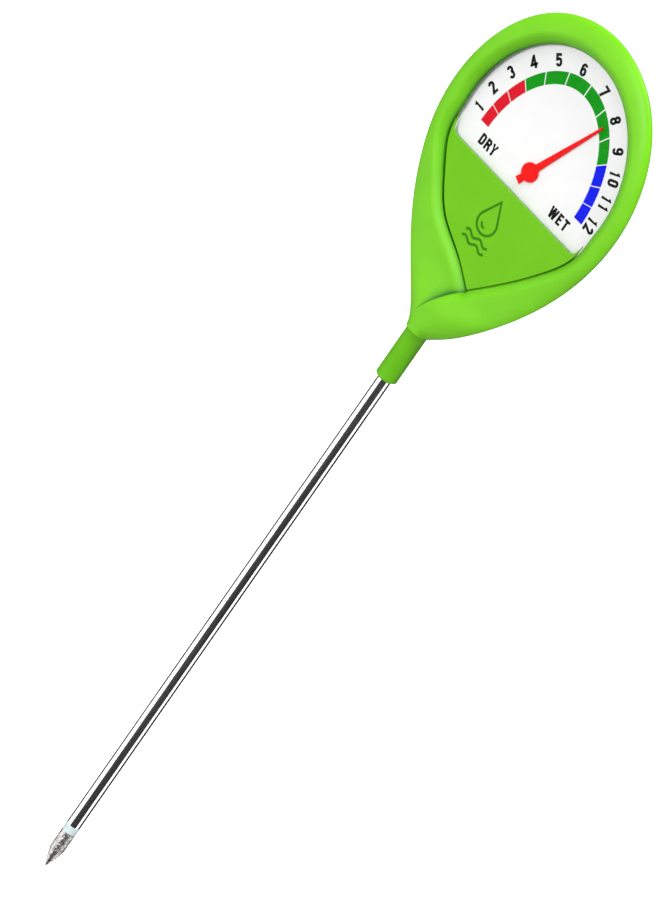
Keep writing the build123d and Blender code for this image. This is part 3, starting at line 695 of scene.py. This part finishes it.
def make_rear(materials):
    """The rear half of the head: a smooth dome with the neck's bell, hollow inside."""
    outline = head_curves()[0]
    total = lengths(outline)[-1]
    widest = at_length(outline, column_places(total))
    outer = widest * (1 - (1 - PARTING_SHARE) * past_neck(widest))[:, None]
    flat_shares = np.linspace(FLAT_FIRST, FLAT_LAST, FLAT_RINGS)
    round_shares = 1 - ROUND_WIDTH * np.linspace(1, 0, ROUND_RINGS) ** ROUND_CROWDING
    shares = np.concatenate([flat_shares, round_shares])
    front, back = [], []
    for share in shares:
        flat = outer * share
        dome = np.full(len(outer), REAR_DEPTH * (1 - share**REAR_POWER))
        depth = neck_height(flat[:, 0], flat[:, 1], dome)
        hollow = INNER_DEPTH * max(1 - (share / INNER_SHARE) ** REAR_POWER, 0)
        low = np.maximum(hollow, bore_height(flat[:, 0], flat[:, 1]))
        if share == shares[-1]:
            depth = np.maximum(depth, GROOVE)
        front.append(place(flat, -np.maximum(depth, low + LEAST_WALL)))
        back.append(place(flat, -low))
    centre = place(np.zeros((2, 2)), -np.array([REAR_DEPTH, INNER_DEPTH]))
    made = shell("rear_cover_skin", front, back, centre, materials["green_shell"])
    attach(made, "housing")
    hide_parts("rear_cover")


# ---- Print on the card and the panel
PRINT_T = 0.02
SMALLEST_MITRE = 0.5
PRINT_WELD, PRINT_SHARP = 1e-7, 20


def ribbon(path, width, closed=False):
    """Left and right edges of a stroke of the given width along a path, with mitred corners."""
    p = np.array(path, float)
    if closed:
        before, after = np.roll(p, 1, axis=0), np.roll(p, -1, axis=0)
    else:
        before = np.vstack([2 * p[0] - p[1], p[:-1]])
        after = np.vstack([p[1:], 2 * p[-1] - p[-2]])
    into = (p - before) / np.linalg.norm(p - before, axis=1)[:, None]
    out = (after - p) / np.linalg.norm(after - p, axis=1)[:, None]
    normal_in = np.stack([-into[:, 1], into[:, 0]], 1)
    normal_out = np.stack([-out[:, 1], out[:, 0]], 1)
    mitre = normal_in + normal_out
    mitre /= np.maximum((mitre * normal_in).sum(1), SMALLEST_MITRE)[:, None]
    return p + mitre * width / 2, p - mitre * width / 2


class Print:
    """Collects thin flat strokes and areas into one printed piece."""

    def __init__(self, name, height):
        self.name, self.height = name, height
        self.points, self.faces = [], []

    def strip(self, left, right, closed=False):
        """A thin closed plate between two edges of the same number of points."""
        count, base = len(left), len(self.points)
        for h in (self.height + PRINT_T, self.height):
            for edge in (left, right):
                self.points += [tuple(p) for p in place(np.array(edge), np.full(count, h))]

        def at(layer, edge, i):
            return base + (2 * layer + edge) * count + i % count

        for i in range(count if closed else count - 1):
            self.faces.append((at(0, 0, i), at(0, 1, i), at(0, 1, i + 1), at(0, 0, i + 1)))
            self.faces.append((at(1, 0, i), at(1, 0, i + 1), at(1, 1, i + 1), at(1, 1, i)))
            for edge in (0, 1):
                side = (at(0, edge, i), at(0, edge, i + 1), at(1, edge, i + 1), at(1, edge, i))
                self.faces.append(side)
        if not closed:
            for i in (0, count - 1):
                self.faces.append((at(0, 0, i), at(0, 1, i), at(1, 1, i), at(1, 0, i)))

    def stroke(self, path, width, closed=False):
        """A line of one width along a path."""
        self.strip(*ribbon(path, width, closed), closed)

    def finish(self, material):
        """Makes the mesh, on the housing."""
        made = build(self.name, self.points, self.faces, material)
        clean(made, PRINT_WELD, PRINT_SHARP)
        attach(made, "housing")


def arc(cx, cy, rx, ry, start, end, count=10):
    """Points of an elliptical arc, with angles in degrees anticlockwise from the right."""
    angles = [math.radians(start + (end - start) * i / count) for i in range(count + 1)]
    return [(cx + rx * math.cos(a), cy + ry * math.sin(a)) for a in angles]


# Glyph strokes in a cell from (0, 0) to (W, 1), where a stroke is STROKE wide. L, R and C are its
# left, right and middle lines, and BOW is the radius of a full bow between L and R.
STROKE = 0.215
HALF = STROKE / 2
W = 0.56
L, R, C = HALF, W - HALF, W / 2
BOTTOM, TOP, MIDDLE = HALF, 1 - HALF, 0.52
BOW = (R - L) / 2
GLYPHS = {
    "0": [(arc(C, TOP - BOW, BOW, BOW, 0, 180) + arc(C, BOTTOM + BOW, BOW, BOW, 180, 360), True)],
    "1": [([(0.16, TOP - 0.17), (0.3, TOP - 0.04), (0.3, 0)], False)],
    "2": [(arc(C, TOP - BOW, BOW, BOW, 180, -20) + [(L + 0.02, BOTTOM), (R + HALF, BOTTOM)], False)],
    "3": [
        (arc(C, TOP - BOW, BOW, BOW, 170, 0) + arc(C, MIDDLE + BOW * 0.7, BOW, BOW * 0.7, 0, -90), False),
        (
            arc(C, MIDDLE - BOW * 0.8, BOW, BOW * 0.8, 90, 0) + arc(C, BOTTOM + BOW, BOW, BOW, 0, -170),
            False,
        ),
    ],
    "4": [([(0.38, 0), (0.38, 1)], False), ([(0.36, TOP), (0.04, 0.3), (W + 0.05, 0.3)], False)],
    "5": [(
        [(R + 0.06, TOP), (L, TOP), (L, MIDDLE + 0.02)] + arc(C, MIDDLE - 0.06, BOW, BOW * 0.75, 130, 0)
        + arc(C, BOTTOM + BOW, BOW, BOW, 0, -170), False
    )],
    "6": [
        (arc(C, BOTTOM + BOW, BOW, BOW, 180, 360) + arc(C, MIDDLE - 0.12, BOW, BOW, 0, 180), True),
        (arc(C, TOP - BOW, BOW, BOW, 15, 180) + [(L, BOTTOM + BOW)], False),
    ],
    "7": [([(L - HALF, TOP), (R, TOP), (0.2, 0)], False)],
    "8": [
        (arc(C, TOP - BOW, BOW, BOW, 0, 180) + arc(C, MIDDLE + BOW, BOW * 0.95, BOW, 180, 360), True),
        (arc(C, MIDDLE - BOW, BOW, BOW, 0, 180) + arc(C, BOTTOM + BOW, BOW, BOW, 180, 360), True),
    ],
    "9": [
        (arc(C, TOP - BOW, BOW, BOW, 0, 180) + arc(C, MIDDLE + 0.1, BOW, BOW, 180, 360), True),
        (arc(C, BOTTOM + BOW, BOW, BOW, 195, 360) + [(R, TOP - BOW)], False),
    ],
    "D": [(
        [(L, BOTTOM), (L, TOP)] + arc(C, TOP - BOW, BOW, BOW, 90, 0)
        + arc(C, BOTTOM + BOW, BOW, BOW, 0, -90), True
    )],
    "R": [
        ([(L, 0), (L, TOP)] + arc(C, TOP - BOW, BOW, BOW, 90, 0) + arc(C, MIDDLE + BOW, BOW, BOW, 0, -90)
            + [(L, MIDDLE)], False),
        ([(C, MIDDLE), (R, MIDDLE - 0.2), (R + 0.02, 0)], False),
    ],
    "Y": [([(L - 0.05, 1), (C, MIDDLE - 0.05), (R + 0.05, 1)], False), ([(C, MIDDLE), (C, 0)], False)],
    "W": [([(x, 1 - y), (x + 0.17, y)], False) for x, y in ((0.08, 0), (0.25, 1), (0.42, 0), (0.59, 1))],
    "E": [
        ([(R + 0.04, TOP), (L, TOP), (L, BOTTOM), (R + 0.04, BOTTOM)], False),
        ([(L, MIDDLE), (R - 0.02, MIDDLE)], False),
    ],
    "T": [([(-0.02, TOP), (W + 0.02, TOP)], False), ([(C, TOP), (C, 0)], False)],
}
LETTER_GAP = 0.12
WIDE = {"W": 0.84}


def write(sheet, text, centre, height, turn):
    """Strokes of a text centred on a point, turned clockwise by turn."""
    widths = [WIDE.get(c, W) for c in text]
    start = -(sum(widths) + LETTER_GAP * (len(text) - 1)) / 2
    along = np.array((math.cos(turn), -math.sin(turn)))
    up = np.array((math.sin(turn), math.cos(turn)))
    for letter, width in zip(text, widths):
        for path, closed in GLYPHS[letter]:
            points = [
                np.array(centre) + height * ((start + x) * along + (y - 0.5) * up) for x, y in path
            ]
            sheet.stroke(points, height * STROKE, closed)
        start += width + LETTER_GAP


# Half axes of the ellipses that the band and the numerals follow
BAND_OUTER = (21.3, 29.8)
BAND_INNER = (18.2, 26.1)
NUMERAL_PATH = (24.3, 32.0)
FIELD, FIELD_STEPS = math.radians(15), 8
FIELD_LINE = 0.006  # half of the gap between fields, in radians
FIELD_COLOURS = (("red", 0, 3), ("green", 3, 9), ("blue", 9, 12))
NUMERAL_HEIGHT, WORD_HEIGHT = 3.6, 3.3
WORD_PLACES = {"DRY": (-15.2, -3.4), "WET": (14.8, -3.4)}
NUMERAL_PLACES = [
    (-24.1, 2.5), (-23.9, 9.0), (-22.0, 15.8), (-18.2, 22.6), (-12.3, 28.2), (-4.5, 31.3),
    (4.3, 31.2), (11.9, 27.8), (17.8, 22.2), (21.5, 16.0), (23.5, 9.2), (23.7, 1.9),
]


def on_ellipse(axes, angle):
    """Point of an ellipse round the hub at a true polar angle."""
    c, s = math.cos(angle), math.sin(angle)
    reach = 1 / math.hypot(c / axes[0], s / axes[1])
    return (reach * c, reach * s)


def make_scale(materials):
    """Twelve band fields in three colours, the numerals and the two words."""
    for colour, first, last in FIELD_COLOURS:
        band = Print(f"scale_{colour}", CARD_HEIGHT)
        for i in range(first, last):
            start, end = math.pi - i * FIELD - FIELD_LINE, math.pi - (i + 1) * FIELD + FIELD_LINE
            angles = np.linspace(start, end, FIELD_STEPS + 1)
            outer = [on_ellipse(BAND_OUTER, a) for a in angles]
            inner = [on_ellipse(BAND_INNER, a) for a in angles]
            band.strip(outer, inner)
        band.finish(materials[f"ink_{colour}"])
    black = Print("scale_figures", CARD_HEIGHT)
    for number, (x, v) in enumerate(NUMERAL_PLACES, 1):
        turn = math.atan2(x / NUMERAL_PATH[0] ** 2, v / NUMERAL_PATH[1] ** 2)
        write(black, str(number), (x, v), NUMERAL_HEIGHT, turn)
    for word, centre in WORD_PLACES.items():
        write(black, word, centre, WORD_HEIGHT, 0)
    black.finish(materials["ink_black"])


EMBLEM_MIDDLE, EMBLEM_STROKE = -0.94, 0.72
DROP_MID, DROP_R, DROP_TIP, GLEAM_R = -18.4, 3.3, -11.2, 1.7
RIPPLES = (-23.6, -25.6)
RIPPLE_HALF, RIPPLE_HEIGHT, RIPPLE_TURNS, RIPPLE_STEPS = 4.4, 0.5, 1.45, 32
DROP_STEPS, GLEAM_STEPS = 20, 6


def make_emblem(materials):
    """A water drop over two ripples, on the panel below the window."""
    mark = Print("panel_emblem", PANEL_HEIGHT)
    bulb = arc(EMBLEM_MIDDLE, DROP_MID, DROP_R, DROP_R, 150, 390, DROP_STEPS)
    mark.stroke([(EMBLEM_MIDDLE, DROP_TIP)] + bulb, EMBLEM_STROKE, True)
    gleam = arc(EMBLEM_MIDDLE, DROP_MID, GLEAM_R, GLEAM_R, 200, 270, GLEAM_STEPS)
    mark.stroke(gleam, EMBLEM_STROKE)
    for low in RIPPLES:
        wave = [
            (EMBLEM_MIDDLE + x, low + RIPPLE_HEIGHT * math.sin(x * RIPPLE_TURNS))
            for x in np.linspace(-RIPPLE_HALF, RIPPLE_HALF, RIPPLE_STEPS + 1)
        ]
        mark.stroke(wave, EMBLEM_STROKE)
    mark.finish(materials["emblem_green"])


def dress(materials):
    """Each CAD node gets its slot's finish."""
    slots = {part["node"]: part["material_slot"] for part in frame["record"]["subparts"]}
    for node, made in frame["nodes"].items():
        made.data.materials.clear()
        made.data.materials.append(materials[slots[node]])


make_camera()
make_light()
materials = {
    **plastic_finishes(), **probe_finishes(), **inside_finishes(), **print_finishes(), **stage_finishes()
}
make_floor(materials["floor"])
make_cards(materials["card"])
make_bezel(materials)
make_rear(materials)
make_scale(materials)
make_emblem(materials)
dress(materials)
